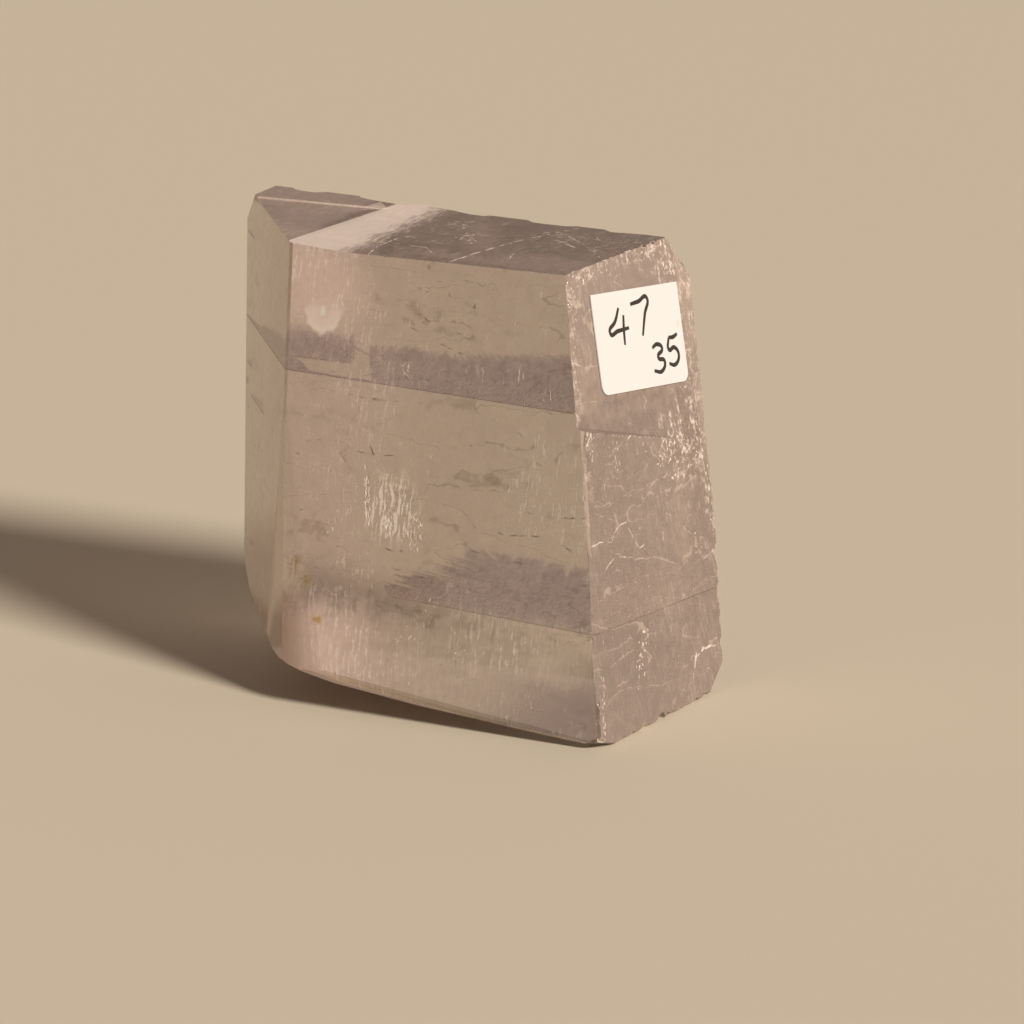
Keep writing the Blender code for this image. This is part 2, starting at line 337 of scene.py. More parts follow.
def crumbs(name, u, v, half_length, half_width, turn, count, lengths, slim, lean, frosts=(0.4, 1.0)):
    """Small knocks scattered over an oval patch of a face."""
    normal = faces[name][1]
    aim = math.radians(turn)
    for _ in range(count):
        reach, swing = math.sqrt(chance.random()), chance.uniform(0.0, math.tau)
        a, b = reach * half_length * math.cos(swing), reach * half_width * math.sin(swing)
        du, dv = a * math.cos(aim) - b * math.sin(aim), a * math.sin(aim) + b * math.cos(aim)
        place = on_face(name, u + du, v + dv)
        if lean is None:
            bearing = math.radians(chance.uniform(0.0, 180.0))
        else:
            bearing = math.radians(lean + chance.uniform(-CRUMB_TURN, CRUMB_TURN))
        along = on_face(name, u + du + math.cos(bearing), v + dv + math.sin(bearing)) - place
        most_tilt = NICK_TILT if slim < NICK_SLIMNESS else CRUMB_TILT
        tilt = (normal + Vector([chance.uniform(-most_tilt, most_tilt) for _ in range(3)])).normalized()
        length = chance.uniform(*lengths) * MM
        width = length * slim * chance.uniform(0.6, 1.4)
        depth = min(length * DEPTH_BY_LENGTH, width * DEPTH_BY_WIDTH)
        add_flake(place, along, tilt, length, width, depth, chance.uniform(*frosts))


GROUP_COUNTS = (2, 7)
GROUP_HALF_LENGTHS = (0.8, 2.6)
GROUP_HALF_WIDTHS = (0.3, 1.0)
GROUP_TURNS = (60.0, 120.0)
NICK_FROST = (0.05, 0.75)


def groups(name, u, v, half_length, half_width, count, lengths, slim, lean):
    """Fine nicks in loose groups of a few, scattered over an oval patch of a face."""
    while count > 0:
        reach, swing = math.sqrt(chance.random()), chance.uniform(0.0, math.tau)
        few = chance.randint(*GROUP_COUNTS)
        middle_u = u + reach * half_length * math.cos(swing)
        middle_v = v + reach * half_width * math.sin(swing)
        long_half = chance.uniform(*GROUP_HALF_LENGTHS)
        wide_half = chance.uniform(*GROUP_HALF_WIDTHS)
        turn = chance.uniform(*GROUP_TURNS)
        crumbs(name, middle_u, middle_v, long_half, wide_half, turn, few, lengths, slim, lean, NICK_FROST)
        count -= few


# Short level cleavage slivers that open on the left front facet: their two ends, level and depth, in mm
SLIVERS = [
    (-22.8, -11.3, 33.35, 5.0), (-27.8, -23.5, 36.85, 2.6), (-29.2, -24.9, 34.25, 2.6),
    (-14.8, -11.4, 15.35, 2.4), (-24.0, -23.0, 31.4, 1.6), (-35.2, -29.0, 53.2, 2.0),
]
SLIVER_POINTS = 7
SLIVER_SKEW = 0.7
SLIVER_RAGGEDNESS = (0.7, 1.1)
thin = bmesh.new()
facet_in = Vector((-faces["facet"][1].x, -faces["facet"][1].y, 0.0)).normalized()
for u0, u1, level, depth in SLIVERS:
    rim_points = [on_face("facet", u0, level) - facet_in * MM, on_face("facet", u1, level) - facet_in * MM]
    for number in range(SLIVER_POINTS, 0, -1):
        share = number / (SLIVER_POINTS + 1.0)
        reach = depth * math.sin(math.pi * share ** SLIVER_SKEW) * chance.uniform(*SLIVER_RAGGEDNESS)
        rim_points.append(on_face("facet", u0 + (u1 - u0) * share, level) + facet_in * reach * MM)
    thin.faces.new([thin.verts.new(point) for point in rim_points])
lift(thin, CRACK_GAP)
mesh = bpy.data.meshes.new("sliver_slabs")
thin.to_mesh(mesh)
thin.free()
cut(block, as_cutter("sliver_slabs", mesh))

# Scratches that show light: face, points along the line and width, in mm
SCRATCHES = [
    ("top", [(-17.64, -6.1), (-17.2, -1.7), (-15.9, 7.5), (-13.9, 19.8)], 0.30),
    ("top", [(-32.0, 13.1), (-22.2, 13.6), (-16.6, 12.2)], 0.5),
    ("top", [(-17.0, 12.1), (-15.6, 16.0)], 0.6),
    ("top", [(-5.7, -8.8), (-6.6, -4.0), (-6.1, 1.7)], 0.25),
    ("top", [(5.7, -8.4), (6.7, -2.6), (8.9, 6.7), (12.9, 16.3)], 0.30),
    ("top", [(11.6, -6.0), (11.9, -3.0), (11.2, 0.1)], 0.22),
    ("top", [(11.7, 13.2), (17.0, 8.5), (22.4, 2.0)], 0.22),
    ("top", [(13.2, 8.7), (17.1, 6.0)], 0.5),
    ("top", [(-2.9, -1.9), (-0.5, -2.2), (1.4, -4.4)], 0.22),
    ("front", [(-10.2, 7.5), (-9.9, 6.2), (-9.5, 4.8)], 0.24),
    ("front", [(-8.7, 7.1), (-7.6, 6.1), (-6.3, 4.1)], 0.24),
    ("front", [(11.4, 45.9), (11.9, 44.0)], 0.26),
    ("front", [(18.2, 13.9), (18.4, 10.6)], 0.26),
    ("front", [(-2.8, 31.4), (-2.3, 28.6)], 0.35),
    ("front", [(1.6, 43.9), (4.8, 43.0)], 0.25),
    ("front", [(0.9, 44.3), (2.6, 42.8)], 0.22),
    ("front", [(17.4, 16.2), (17.9, 14.0)], 0.22),
    ("right", [(-14.0, 24.8), (-11.5, 25.0), (-8.8, 24.4), (-6.5, 26.0), (-4.6, 25.9), (-2.2, 22.0)], 0.26),
    ("right", [(-13.2, 20.8), (-8.5, 22.4), (-0.1, 20.1)], 0.22),
    ("right", [(-2.4, 22.0), (-0.4, 22.3)], 0.5),
    ("right", [(-12.4, 36.0), (-9.0, 38.5)], 0.25),
    ("right", [(-0.5, 35.8), (3.6, 37.6)], 0.3),
    ("right", [(12.7, 5.6), (9.6, 6.0), (7.1, 5.3), (4.9, 2.1)], 0.4),
    ("upper_right", [(19.3, 55.6), (19.8, 52.8)], 0.5),
    ("upper_right", [(18.6, 55.0), (18.9, 53.4)], 0.4),
    ("upper_right", [(-2.2, 57.0), (-2.5, 55.6)], 0.45),
]
# Fine lines: the same, and the share of frost in them
HAIR_LINES = [
    ("front", [(-1.5, 56.0), (3.0, 54.4), (8.0, 54.0), (11.0, 52.6)], 0.22, 0.0),
    ("front", [(-4.0, 53.2), (0.0, 52.8), (4.6, 50.4), (9.0, 49.4)], 0.22, 0.0),
    ("front", [(0.0, 50.5), (4.0, 48.6), (9.5, 47.0)], 0.2, 0.0),
    ("front", [(3.0, 55.6), (8.6, 56.2), (13.0, 55.4)], 0.2, 0.0),
    ("front", [(-4.1, 33.4), (-1.0, 33.2), (1.0, 33.5)], 0.3, 0.0),
    ("front", [(0.6, 31.6), (2.6, 30.8)], 0.3, 0.0),
    ("front", [(-0.4, 21.9), (2.6, 21.4), (3.6, 21.8)], 0.3, 0.0),
    ("front", [(-15.4, 33.0), (-12.0, 32.0), (-9.8, 32.6)], 0.25, 0.0),
    ("front", [(-15.6, 29.0), (-12.6, 28.0), (-10.6, 28.6)], 0.25, 0.0),
    ("front", [(-15.4, 25.4), (-12.0, 25.0), (-10.0, 25.8)], 0.25, 0.0),
    ("front", [(12.0, 26.5), (18.0, 25.2), (24.0, 25.6), (29.0, 23.6)], 0.2, 0.0),
    ("front", [(10.0, 23.8), (17.0, 21.8), (23.0, 22.2), (30.0, 20.0)], 0.22, 0.0),
    ("front", [(17.0, 29.0), (23.0, 28.0), (29.5, 28.6)], 0.2, 0.0),
    ("front", [(-12.6, 41.0), (-4.0, 40.2), (6.0, 40.4)], 0.22, 0.0),
    ("front", [(-15.6, 20.5), (-6.0, 19.0), (2.0, 19.4), (7.0, 18.6)], 0.25, 0.0),
    ("right", [(-12.0, 29.0), (-7.0, 26.6), (0.0, 27.2), (6.0, 30.2)], 0.16, 0.5),
    ("right", [(-12.6, 31.0), (-8.0, 28.8), (-1.0, 29.4), (4.0, 32.0)], 0.14, 0.4),
    ("right", [(-8.0, 33.4), (-3.0, 31.0), (3.0, 31.4)], 0.14, 0.4),
    ("right", [(-12.0, 18.0), (-4.0, 18.6), (6.0, 17.0), (14.0, 18.6)], 0.14, 0.4),
    ("right", [(-10.0, 14.0), (-2.0, 15.6), (8.0, 13.0)], 0.14, 0.4),
    ("top", [(14.0, 12.0), (20.0, 10.6), (24.0, 12.0)], 0.2, 0.4),
    ("top", [(-2.0, 6.0), (6.0, 8.0), (16.0, 14.0)], 0.16, 0.4),
]
# Patches of knocks: face, middle, half length and half width in mm, turn in degrees, how many, their
# lengths in mm, how slim they are, which way they lean (None: any way), and their shares of frost
CRUMBS = [
    ("upper_right", 6.0, 57.2, 11.5, 0.6, -2.0, 44, (0.3, 0.9), 0.5, None, (0.1, 0.7)),
    ("upper_right", 18.3, 55.0, 1.2, 3.2, 0.0, 30, (0.3, 1.2), 0.35, 85.0),
    ("upper_right", -6.6, 50.0, 8.0, 0.8, 76.0, 40, (0.3, 0.9), 0.45, None, (0.1, 0.6)),
    ("upper_right", -5.4, 55.4, 3.0, 1.6, 60.0, 30, (0.3, 0.8), 0.45, None, (0.1, 0.7)),
    ("right", -9.2, 39.0, 4.0, 1.0, 76.0, 50, (0.3, 0.9), 0.45, None),
    ("right", -17.4, 5.5, 4.0, 0.6, 76.0, 30, (0.3, 1.0), 0.35, 80.0),
    ("right", 17.6, 24.0, 1.2, 14.0, 0.0, 60, (0.3, 1.3), 0.4, 85.0),
    ("right", 14.0, 33.0, 8.5, 4.2, 20.0, 220, (0.30, 0.9), 0.45, None),
    ("right", 8.0, 36.0, 9.0, 2.4, 10.0, 60, (0.30, 0.8), 0.4, None),
    ("right", -3.8, 34.5, 3.2, 0.9, 80.0, 22, (0.3, 0.9), 0.35, 80.0),
    ("right", -1.0, 36.8, 11.5, 0.5, -14.7, 50, (0.3, 1.0), 0.4, None, (0.1, 0.7)),
    ("upper_right", 17.0, 44.0, 6.0, 1.6, 86.0, 44, (0.3, 0.9), 0.45, None),
    ("right", -6.0, 9.0, 4.8, 1.4, 60.0, 34, (0.3, 0.8), 0.7, None),
    ("right", -9.0, 36.0, 6.0, 4.0, 20.0, 24, (0.3, 0.8), 0.35, None, (0.1, 0.7)),
    ("right", 2.0, 14.0, 16.0, 9.0, 20.0, 60, (0.25, 0.8), 0.3, None, (0.1, 0.8)),
    ("top", -2.3, 11.0, 3.0, 1.3, -60.0, 18, (0.5, 1.3), 0.22, 20.0),
    ("top", 2.0, 4.5, 3.6, 1.3, -60.0, 24, (0.5, 1.3), 0.22, None),
    ("front", -2.2, 27.8, 3.9, 0.4, 101.0, 70, (0.4, 1.3), 0.34, 98.0, (0.6, 1.0)),
    ("front", 0.9, 26.2, 2.8, 0.7, 99.0, 40, (0.3, 1.0), 0.3, 95.0, (0.3, 1.0)),
    ("front", 1.3, 24.2, 1.4, 0.6, 80.0, 40, (0.4, 1.1), 0.34, 95.0, (0.6, 1.0)),
    ("front", 5.0, 24.0, 2.4, 1.3, 96.0, 80, (0.3, 1.1), 0.3, 95.0, (0.4, 1.0)),
    ("front", -7.0, 23.8, 1.8, 0.6, 50.0, 16, (0.3, 0.9), 0.4, 70.0, (0.3, 0.9)),
    ("front", 9.5, 15.5, 2.8, 1.2, 30.0, 14, (0.3, 0.9), 0.35, 50.0, (0.1, 0.7)),
    ("front", 1.3, 44.4, 0.8, 0.6, 80.0, 10, (0.3, 0.7), 0.6, None),
    ("front", 21.3, 43.0, 3.0, 0.6, 88.0, 10, (0.3, 0.9), 0.3, 85.0, (0.2, 0.8)),
    ("front", 6.0, 12.0, 3.0, 1.2, 30.0, 16, (0.3, 0.9), 0.3, 60.0, (0.2, 0.8)),
    ("front", 12.0, 9.5, 3.0, 1.2, 30.0, 16, (0.3, 0.9), 0.3, 60.0, (0.2, 0.8)),
    ("front", -5.0, 5.5, 3.0, 1.2, 30.0, 12, (0.3, 0.9), 0.3, 60.0, (0.2, 0.8)),
]
# Patches of fine nicks: face, middle and half sizes in mm, how many, lengths in mm, slimness and lean
NICKS = [
    ("front", 10.0, 49.5, 11.0, 5.0, 46, (0.4, 1.5), 0.12, 93.0),
    ("front", 14.0, 43.6, 10.0, 2.6, 34, (0.5, 2.0), 0.11, 98.0),
    ("front", 4.0, 33.0, 12.0, 7.0, 34, (0.3, 1.3), 0.12, 92.0),
    ("front", -9.0, 34.0, 6.0, 20.0, 44, (0.3, 1.3), 0.12, 86.0),
    ("front", 17.0, 33.0, 8.0, 10.0, 14, (0.3, 1.2), 0.12, 93.0),
    ("front", 12.0, 14.0, 16.0, 5.0, 30, (0.3, 1.2), 0.13, 75.0),
    ("front", 14.0, 8.0, 18.0, 6.0, 70, (0.3, 1.2), 0.13, 88.0),
    ("front", -12.0, 6.0, 6.0, 6.0, 20, (0.3, 1.0), 0.13, 80.0),
    ("right", 0.0, 18.0, 17.0, 15.0, 60, (0.5, 2.0), 0.10, None),
    ("right", 0.0, 35.0, 14.0, 6.0, 34, (0.5, 1.8), 0.10, None),
    ("upper_right", 4.0, 50.0, 12.0, 9.0, 50, (0.4, 1.3), 0.13, 90.0),
    ("top", 8.0, 4.0, 16.0, 12.0, 50, (0.6, 2.6), 0.09, None),
    ("facet", -14.0, 30.0, 16.0, 24.0, 24, (0.4, 1.2), 0.13, 95.0),
    ("back", 0.0, 30.0, 26.0, 26.0, 30, (0.3, 1.2), 0.10, None),
    ("left", 0.0, 30.0, 14.0, 22.0, 30, (0.3, 1.2), 0.10, None),
]
for entry in SCRATCHES + HAIR_LINES:
    scratch(*entry)
for patch in CRUMBS:
    crumbs(*patch)
for patch in NICKS:
    groups(*patch)

# The share of frost of each broken face: slight on the solid's own worn strips, its own on every flake
SAME_WAY = 0.9998
SAME_LEVEL = 0.03 * MM
LARGEST_CHIP = 12.0 * MM * MM
WORN_RIGHT, WORN_LEFT = 0.1, 0.3
broken = block.data.attributes.new("broken", "FLOAT", "FACE")
for face in block.data.polygons:
    flush = any(face.normal.dot(normal) > SAME_WAY and abs((face.center - point).dot(normal)) < SAME_LEVEL
                for point, normal in faces.values())
    worn = WORN_RIGHT if face.center.x > 0.0 else WORN_LEFT
    broken.data[face.index].value = 0.0 if flush or face.area > LARGEST_CHIP else worn
for batch in batches:
    mesh = bpy.data.meshes.new("flake_shells")
    mesh.from_pydata(batch["points"], [], batch["faces"])
    marked = mesh.attributes.new("broken", "FLOAT", "FACE")
    marked.data.foreach_set("value", batch["frost"])
    cut(block, as_cutter("flake_shells", mesh))

# The rounded edge is shaded smooth and the flat faces stay flat
SMOOTH_ANGLE = math.radians(13.0)
FACE_AREA_WEIGHT = 90
only(block)
bpy.ops.object.shade_smooth_by_angle(angle=SMOOTH_ANGLE, keep_sharp_edges=False)
modifier = block.modifiers.new("flat_faces", "WEIGHTED_NORMAL")
modifier.keep_sharp = True
modifier.weight = FACE_AREA_WEIGHT
bpy.ops.object.modifier_apply(modifier=modifier.name)

# Every face gets its own sheet of flat coordinates in millimetres, and so does each crack. The skin of
# a face is its own share of frost, how pink that frost is, and how mottled
SHEET = 200.0
SKIN = {
    "front": (0.12, 0.0, 1.0),
    "right": (0.30, 0.6, 0.4),
    "top": (0.22, 0.8, 0.4),
    "facet": (0.42, 0.45, 0.35),
    "back": (0.03, 0.3, 0.2),
    "left": (0.05, 0.3, 0.2),
    "base": (0.15, 0.5, 0.2),
}
CRACK_FACE_REACH = 0.1
CRACK_FACE_LEVEL = 0.9
sheets = list(SKIN) + ["upper_crack", "lower_crack"]
mesh = block.data
plane_map = mesh.uv_layers.new(name="planes")
skin = mesh.attributes.new("skin", "FLOAT_VECTOR", "FACE")
for face in mesh.polygons:
    nearest = max(SKIN, key=lambda name: face.normal.dot(faces[name][1]))
    skin.data[face.index].vector = SKIN[nearest]
    is_level = nearest in ("top", "base")
    u_way = Vector((1.0, 0.0, 0.0)) if is_level else UP.cross(faces[nearest][1]).normalized()
    number = sheets.index(nearest)
    centre = face.center / MM
    for crack_number, crack in enumerate(CRACKS.values(), len(SKIN)):
        height = abs(centre.z - crack_level(crack, centre.x, centre.y))
        if height < CRACK_FACE_REACH and abs(face.normal.z) > CRACK_FACE_LEVEL:
            number = crack_number
    for corner in face.loop_indices:
        point = mesh.vertices[mesh.loops[corner].vertex_index].co / MM
        plane_map.data[corner].uv = (point.dot(u_way) + SHEET * number, point.y if is_level else point.z)


class Signal:
    """A value in a material's nodes, on which plain arithmetic adds Math nodes."""

    def __init__(self, socket):
        self.socket = socket

    def maths(self, operation, *values):
        """A Math node."""
        node = self.socket.id_data.nodes.new("ShaderNodeMath")
        node.operation = operation
        for socket, value in zip(node.inputs, values):
            feed(socket, value)
        return Signal(node.outputs[0])

    def __add__(self, other):
        return self.maths("ADD", self, other)

    def __radd__(self, other):
        return self.maths("ADD", other, self)

    def __sub__(self, other):
        return self.maths("SUBTRACT", self, other)

    def __rsub__(self, other):
        return self.maths("SUBTRACT", other, self)

    def __mul__(self, other):
        return self.maths("MULTIPLY", self, other)

    def __rmul__(self, other):
        return self.maths("MULTIPLY", other, self)

    def __abs__(self):
        return self.maths("ABSOLUTE", self)

    def most(self, other):
        """The greater of two values."""
        return self.maths("MAXIMUM", self, other)

    def least(self, other):
        """The smaller of two values."""
        return self.maths("MINIMUM", self, other)

    def root(self):
        """The square root."""
        return self.maths("SQRT", self)


def feed(socket, value):
    """Link a signal to a socket, or set the socket's own value."""
    if isinstance(value, Signal):
        socket.id_data.links.new(value.socket, socket)
    else:
        socket.default_value = value


class Finish:
    """The nodes of one material, or of the room's light, and the ways that nodes are added to it."""

    FIRST_COLOUR, SECOND_COLOUR, MIXED_COLOUR = 6, 7, 2

    def __init__(self, owner):
        self.owner = owner
        owner.use_nodes = True
        self.tree = owner.node_tree
        self.tree.nodes.clear()

    def node(self, kind, settings=None, sockets=None, output=0):
        """A node of any kind: its settings are set first, then its sockets."""
        made = self.tree.nodes.new("ShaderNode" + kind)
        for name, value in (settings or {}).items():
            setattr(made, name, value)
        for name, value in (sockets or {}).items():
            feed(made.inputs[name], value)
        return Signal(made.outputs[output]) if made.outputs else None

    def soft(self, value, low, high):
        """A smooth step of a value from 0 at low to 1 at high. It goes down where high is the smaller."""
        settings = {"interpolation_type": "SMOOTHSTEP"}
        return self.node("MapRange", settings, {"Value": value, "From Min": low, "From Max": high})

    def noise(self, place, scale, detail, roughness):
        """Noise over the flat sheets."""
        sockets = {"Vector": place, "Scale": scale, "Detail": detail, "Roughness": roughness}
        return self.node("TexNoise", {"noise_dimensions": "2D"}, sockets)

    def vector(self, operation, *values, output="Vector"):
        """A Vector Math node."""
        made = self.tree.nodes.new("ShaderNodeVectorMath")
        made.operation = operation
        for socket, value in zip(made.inputs, values):
            feed(socket, value)
        return Signal(made.outputs[output])

    def split(self, value):
        """The three parts of a vector."""
        made = self.tree.nodes.new("ShaderNodeSeparateXYZ")
        feed(made.inputs[0], value)
        return [Signal(part) for part in made.outputs]

    def tint(self, factor, first, second):
        """A colour mixed from two colours by a factor."""
        made = self.tree.nodes.new("ShaderNodeMix")
        made.data_type = "RGBA"
        feed(made.inputs["Factor"], factor)
        feed(made.inputs[self.FIRST_COLOUR], first)
        feed(made.inputs[self.SECOND_COLOUR], second)
        return Signal(made.outputs[self.MIXED_COLOUR])

    def put_on(self, thing):
        """Make this the only material of an object."""
        thing.data.materials.clear()
        thing.data.materials.append(self.owner)


calcite = Finish(bpy.data.materials.new("calcite_crystal"))
planes = calcite.node("UVMap", {"uv_map": "planes"})
across, rise, _ = calcite.split(planes)
fresh = calcite.node("Attribute", {"attribute_name": "broken"}, output="Fac")
face_skin = calcite.node("Attribute", {"attribute_name": "skin"}, output="Vector")
base_frost, base_pink, mottle = calcite.split(face_skin)

# Clouds, blotches and grain in the stone, and shaken coordinates, so that no mark has a ruled outline.
# A noise is given by its cells per mm, its detail and its roughness
CLOUDS, BLOTCHES, GRAINS = (0.06, 1.0, 0.55), (0.5, 1.0, 0.6), (1.7, 2.0, 0.65)
WANDER = 2.5
SHAKE, SLIGHT_SHAKE = (1.5, -1.5, 0.0), (0.6, -0.6, 0.0)
cloud = calcite.noise(planes, *CLOUDS)
blotch = calcite.noise(planes, *BLOTCHES) - 0.5
grain = calcite.noise(planes, *GRAINS)
wander = blotch * WANDER
sway = calcite.node("CombineXYZ", None, {"X": blotch, "Y": blotch})
wavy = calcite.vector("MULTIPLY_ADD", sway, SHAKE, planes)
steady = calcite.vector("MULTIPLY_ADD", sway, SLIGHT_SHAKE, planes)

# Fine upright streaks, and hair lines that run nearly level, like the contours of a map
STREAK_CELLS, STREAKS = (2.3, 0.30, 1.0), (1.0, 1.0, 0.6)
LAYER_CELLS, LAYER_TURN, LAYERS = (0.05, 0.22, 1.0), (0.0, 0.0, 0.10), (1.0, 1.0, 0.5)
HAIR_FADE = (0.012, 0.003)
streaky = calcite.noise(calcite.vector("MULTIPLY", steady, STREAK_CELLS), *STREAKS)
layered = calcite.node("Mapping", None, {
    "Vector": wavy, "Scale": LAYER_CELLS, "Rotation": LAYER_TURN})
contour = abs(calcite.noise(layered, *LAYERS) - 0.5)
hair = calcite.soft(contour, *HAIR_FADE) * calcite.soft(blotch, -0.10, 0.06)

# Oval patches of the stone: face, middle and half sizes in mm, and turn in degrees
PATCHES = {
    "bruised": ("right", 13.6, 34.0, 8.0, 5.0, 20.0),
    "column": ("front", 1.4, 26.8, 5.8, 4.8, 98.0),
    # The flash and hot patches place a painted highlight, not a mark of the stone
    "flash_highlight": ("front", -11.2, 50.6, 3.0, 2.6, 90.0),
    "hot_highlight": ("front", -11.1, 50.4, 0.8, 0.5, 100.0),
    "pink_corner": ("front", -14.0, 54.0, 12.0, 7.0, -10.0),
    "ochre": ("front", -11.8, 18.2, 2.6, 1.5, 70.0),
    "second_ochre": ("front", -9.8, 16.8, 1.6, 1.3, -30.0),
    "orange": ("front", -7.65, 11.8, 1.3, 0.8, 80.0),
    "dark_speck": ("top", 3.5, -3.3, 1.2, 0.7, 70.0),
    "milky": ("front", 28.0, 9.5, 8.0, 3.6, 0.0),
    "clearer": ("front", -10.0, 44.6, 8.5, 3.0, -3.0),
}


def across_face(name):
    """How far across one face a point lies, in mm from the zero of its sheet."""
    return across - SHEET * sheets.index(name)


def only_on(name):
    """1 on one face and 0 on the others."""
    return calcite.soft(abs(across_face(name)), SHEET * 0.5 + 1.0, SHEET * 0.5)


def spot(name, place=wavy):
    """Distance from the middle of one of the patches, 1 at its rim."""
    face_name, u, v, half_length, half_width, turn = PATCHES[name]
    aim = math.radians(turn)
    away = calcite.vector("SUBTRACT", place, (u + SHEET * sheets.index(face_name), v, 0.0))
    long_way = (math.cos(aim) / half_length, math.sin(aim) / half_length, 0.0)
    short_way = (-math.sin(aim) / half_width, math.cos(aim) / half_width, 0.0)
    lengthwise = calcite.vector("DOT_PRODUCT", away, long_way, output="Value")
    sideways = calcite.vector("DOT_PRODUCT", away, short_way, output="Value")
    return (lengthwise * lengthwise + sideways * sideways).root()


# The marks of the stone, each a mask made of soft steps. A step on across or rise is a place in mm.
# Bruises of the right face: in one patch, and in strips along its back, top and front edges
FRONT_EDGE_LEAN = 0.2323
FRONT_EDGE_FOOT = 19.56
right_across = across_face("right")
on_right = only_on("right")
from_front_edge = right_across - rise * FRONT_EDGE_LEAN + FRONT_EDGE_FOOT
patch = calcite.soft(spot("bruised"), 1.1, 0.4)
back_strip = calcite.soft(right_across + rise * 0.06 + wander * 3.0, 15.6, 19.0)
top_strip = calcite.soft(rise + wander, 55.6, 57.8)
front_strip = calcite.soft(from_front_edge + wander * 1.5, 2.6, 0.4)
front_strip = front_strip * calcite.soft(rise + wander * 6.0, 28.0, 38.0)
knocked = patch.most(back_strip * 0.55).most(top_strip * 0.7).most(front_strip * 0.5)
bruise = calcite.soft(grain + streaky * 0.35 + blotch * 0.7, 0.68, 0.96) * knocked * on_right

# Fine upright cracks in the front: faint wisps here and there, and a bright column near the middle
wisps = calcite.soft(streaky + grain * 0.5, 0.80, 1.0)
wisps = wisps * calcite.soft(blotch * 0.6 + cloud, 0.48, 0.66) * mottle
column = calcite.soft(spot("column"), 1.0, 0.4)
column = column * calcite.soft(streaky + grain * 0.3, 0.60, 0.76)

# A painted highlight near the top left of the front: a flash of white frost with a bright lower rim and a
# hot point, standing in for a reflection of the light in a dent
flash_highlight_reach = spot("flash_highlight", planes) + blotch * 0.5
flash_highlight = calcite.soft(flash_highlight_reach, 1.05, 0.8) * calcite.soft(rise + wander * 1.2, 53.0, 49.4)
rim = flash_highlight * calcite.soft(flash_highlight_reach, 0.45, 0.85) * calcite.soft(rise, 51.4, 48.6)
hot_highlight = calcite.soft(spot("hot_highlight"), 1.1, 0.5)
pink_corner = calcite.soft(spot("pink_corner"), 1.0, 0.4)

# Ochre and orange stains low on the front, and a dark speck on top
ochre = calcite.soft(spot("ochre").least(spot("second_ochre")), 1.0, 0.3) * calcite.soft(grain, 0.36, 0.56)
orange = calcite.soft(spot("orange"), 1.0, 0.2)
dark_speck = calcite.soft(spot("dark_speck"), 1.0, 0.6)

# The pale ramp on the left of the top: a straight left side, a ragged right side and a soft far end. The
# sloped strip is real, but its pale white frost is a painted reflection
top_across = across_face("top")
painted_ramp_reflection = calcite.soft(rise * -0.146 + top_across, -16.8, -16.4)
painted_ramp_reflection = painted_ramp_reflection * calcite.soft(rise * -0.03 + top_across + streaky * 4.0 + wander, -4.6, -8.6)
painted_ramp_reflection = painted_ramp_reflection * calcite.soft(rise, 21.0, 18.5)

# Milky places: the front's left half, its foot, its lower left and lower right, the upper part of the
# right face, the left of the top and the low part of the facet. One place high on the front is clearer
milky_left = calcite.soft(across, 9.0, -12.0)
milky_foot = calcite.soft(rise + wander * 2.4, 16.6, 11.0)
milky_foot = milky_foot * calcite.soft(across - rise * 1.2 + wander * 3.2, 26.0, 6.0)
milky_low_left = calcite.soft(rise, 17.0, 9.0) * calcite.soft(across, 4.0, -12.0)
milky_low_right = calcite.soft(spot("milky"), 1.0, 0.3)
milky_right = calcite.soft(rise + blotch * 8.0, 36.0, 44.0) * on_right
milky_top = calcite.soft(top_across, -16.0, -18.5) * calcite.soft(top_across, -60.0, -50.0)
milky_facet = calcite.soft(rise, 26.0, 6.0) * only_on("facet")
clearer = calcite.soft(spot("clearer"), 1.1, 0.6)
mottled = (grain - 0.5) * 0.16 + (streaky - 0.5) * 0.16 + blotch * 0.26
mottled = (mottled + calcite.soft(cloud, 0.35, 0.75) * 0.08) * mottle

# How much of the surface is frosted: each mark adds its share
# The share on the ramp is a painted reflection, and the shares of the flash, its rim and its hot point are
# a painted highlight
FROST_SHARES = [
    (milky_left, 0.10), (milky_foot, 0.5), (milky_low_left, 0.22), (milky_low_right, 0.3),
    (milky_right, 0.08), (milky_top, 0.15), (milky_facet, 0.08), (clearer, -0.10),
    (pink_corner, 0.42), (fresh, 0.6), (painted_ramp_reflection, 0.62), (bruise, 0.42), (wisps, 0.15), (column, 1.0),
    (hair * on_right, 0.2), (flash_highlight, 0.4), (rim, 0.5), (hot_highlight, 0.6), (ochre, 0.4), (orange, 0.4),
]
frosted = base_frost + mottled
for mark, share in FROST_SHARES:
    frosted = frosted + mark * share

# Inside the cracks there is a thin streaky haze, and more of it where the lower one runs out on the left
LEAST_FROST, MOST_FROST = 0.02, 0.96
first_crack = SHEET * (sheets.index("upper_crack") - 0.5)
second_crack = first_crack + SHEET
lower_zero = SHEET * sheets.index("lower_crack")
in_crack = calcite.soft(across, first_crack, first_crack + 1.0)
in_lower = calcite.soft(across, second_crack, second_crack + 1.0)
run_out = calcite.soft(across + rise * 0.30 + wander * 3.0, lower_zero + 10.0, lower_zero - 4.0)
haze = calcite.soft(streaky, 0.45, 0.70) * 0.3 + calcite.soft(blotch, -0.1, 0.15) * 0.12
haze = haze + run_out * in_lower * 0.4
frosted = frosted + (haze - frosted) * in_crack
frosted = frosted.most(LEAST_FROST).least(MOST_FROST)
